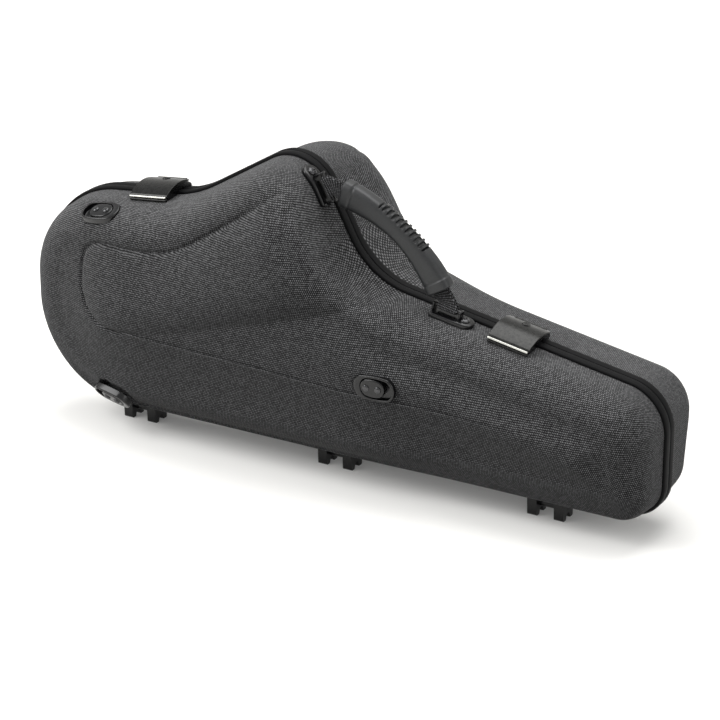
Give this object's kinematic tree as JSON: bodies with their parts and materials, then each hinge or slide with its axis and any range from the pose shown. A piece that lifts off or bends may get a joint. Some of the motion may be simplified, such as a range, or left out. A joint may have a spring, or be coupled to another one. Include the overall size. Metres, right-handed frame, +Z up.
{
  "type": "alto saxophone case",
  "caption": "Shaped hard case for an alto saxophone: two fabric shells with rubber edging on hinge feet, curved keyed latches, a ribbed carrying handle and shoulder strap anchors.",
  "frame": {"origin": "on the table under the middle of the case's length and depth", "axes": "+X along the case from the bow end to the neck end, +Y from the front half, which holds the instrument, to the lid behind it, +Z up"},
  "size_m": [0.65, 0.1917, 0.2985],
  "materials": {
    "fabric": "matte charcoal weave over a moulded shell",
    "rubber": "black edging, satin",
    "foam": "black plush over moulded foam",
    "plastic": "black moulded plastic",
    "dark_chrome": "dark chrome, polished",
    "bright_chrome": "bright chrome",
    "steel": "steel, blackened",
    "grip": "dark grey soft rubber",
    "webbing": "black nylon webbing"
  },
  "bodies": {
    "base": {"front_shell": "fabric", "front_edging": "rubber", "front_liner_bow": "foam", "front_liner_bell": "foam", "front_liner_pocket": "foam", "front_liner_neck": "foam", "hinge_foot_left": "plastic", "hinge_foot_middle": "plastic", "hinge_foot_right": "plastic", "hinge_pin_left": "steel", "hinge_pin_middle": "steel", "hinge_pin_right": "steel", "latch_keeper_left": "plastic", "latch_keeper_right": "plastic", "keeper_bar_left": "dark_chrome", "keeper_bar_right": "dark_chrome", "handle_bracket_high": "plastic", "handle_bracket_low": "plastic", "bracket_screw_high": "steel", "bracket_screw_low": "steel", "strap_anchor_middle": "plastic", "anchor_boss_middle": "plastic", "anchor_rivet_middle_inner": "steel", "anchor_rivet_middle_outer": "steel", "strap_anchor_high": "plastic", "anchor_boss_high": "plastic", "anchor_rivet_high_inner": "steel", "anchor_rivet_high_outer": "steel", "strap_anchor_low": "plastic", "anchor_boss_low": "plastic", "anchor_rivet_low_inner": "steel", "anchor_rivet_low_outer": "steel"},
    "lid": {"rear_shell": "fabric", "rear_edging": "rubber", "rear_liner_bow": "foam", "rear_liner_bell": "foam", "rear_liner_crook": "foam", "rear_liner_neck": "foam", "hinge_leaf_left": "plastic", "hinge_leaf_middle": "plastic", "hinge_leaf_right": "plastic", "latch_base_left": "plastic", "latch_base_right": "plastic", "lever_pin_left": "steel", "lever_pin_right": "steel"},
    "lever_left": {"latch_lever_left": "dark_chrome", "latch_lip_left": "bright_chrome", "latch_claw_left": "steel"},
    "lock_left": {"latch_lock_left": "dark_chrome"},
    "lever_right": {"latch_lever_right": "dark_chrome", "latch_lip_right": "bright_chrome", "latch_claw_right": "steel"},
    "lock_right": {"latch_lock_right": "dark_chrome"},
    "handle": {"handle_grip": "grip", "handle_web_high": "webbing", "handle_web_low": "webbing"}
  },
  "joints": [
    {"name": "lid_hinge", "type": "hinge", "parent": "base", "child": "lid", "pos_m": [-0.006, -0.012, 0.0115], "axis": [-1, 0, 0], "range_deg": [0, 95]},
    {"name": "latch_lever_left", "type": "hinge", "parent": "lid", "child": "lever_left", "pos_m": [-0.19298, 0.0006, 0.23837], "axis": [-0.9938, 0, -0.1115], "range_deg": [0, 75]},
    {"name": "latch_lever_right", "type": "hinge", "parent": "lid", "child": "lever_right", "pos_m": [0.18046, 0.0006, 0.16774], "axis": [-0.9831, 0, 0.1833], "range_deg": [0, 75]},
    {"name": "lock_left", "type": "hinge", "parent": "lever_left", "child": "lock_left", "pos_m": [-0.19392, -0.009, 0.24681], "axis": [-0.1102, 0.1539, 0.9819], "range_deg": [0, 90]},
    {"name": "lock_right", "type": "hinge", "parent": "lever_right", "child": "lock_right", "pos_m": [0.18202, -0.009, 0.17609], "axis": [0.1811, 0.1539, 0.9713], "range_deg": [0, 90]},
    {"name": "handle_swing", "type": "hinge", "parent": "base", "child": "handle", "pos_m": [-0.00619, -0.0312, 0.27756], "axis": [0.8002, 0, -0.5997], "range_deg": [-80, 80], "deforming": ["handle_web_high", "handle_web_low"]}
  ]
}
